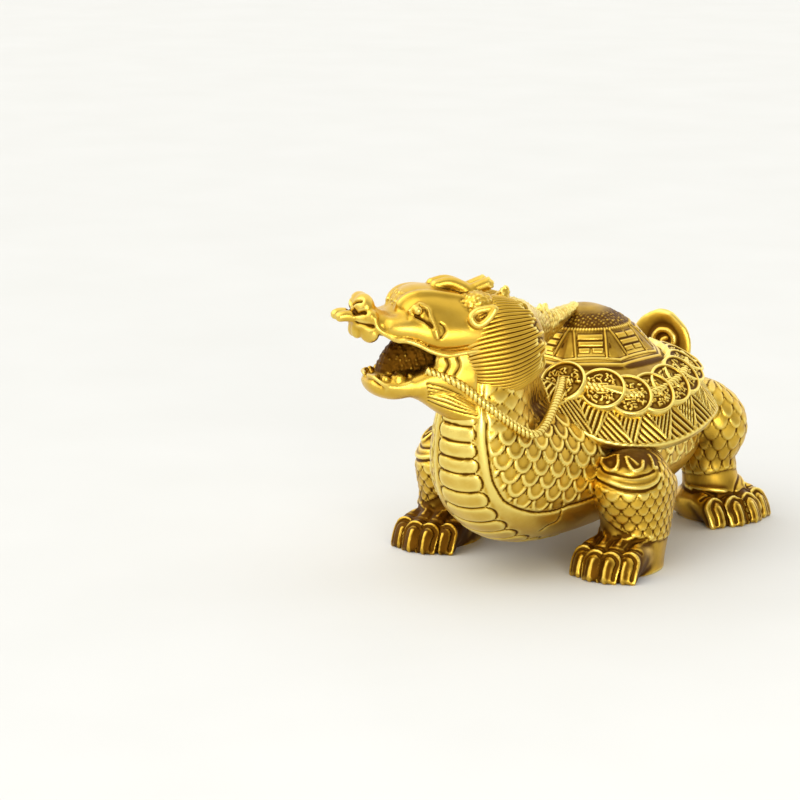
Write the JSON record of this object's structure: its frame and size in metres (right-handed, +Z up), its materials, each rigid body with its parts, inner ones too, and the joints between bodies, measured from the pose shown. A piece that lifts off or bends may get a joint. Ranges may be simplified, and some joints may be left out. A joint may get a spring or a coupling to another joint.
{
  "type": "dragon turtle figurine",
  "caption": "Cast brass dragon turtle ornament: a turtle's domed shell and clawed feet with a horned dragon's head that bites a cord of coins.",
  "frame": {"origin": "middle of the bounding box's footprint, on the ground under the feet", "axes": "the body faces -Y with its left side to +X, and +Z is up; the head is turned to the figure's right, towards -X"},
  "size_m": [0.0862, 0.156, 0.0883],
  "materials": {
    "cast_brass": "lost-wax cast, brushed and polished on the high places, dark patina left in the recesses"
  },
  "bodies": {
    "root": {"dragon_turtle": "cast_brass"}
  },
  "joints": []
}
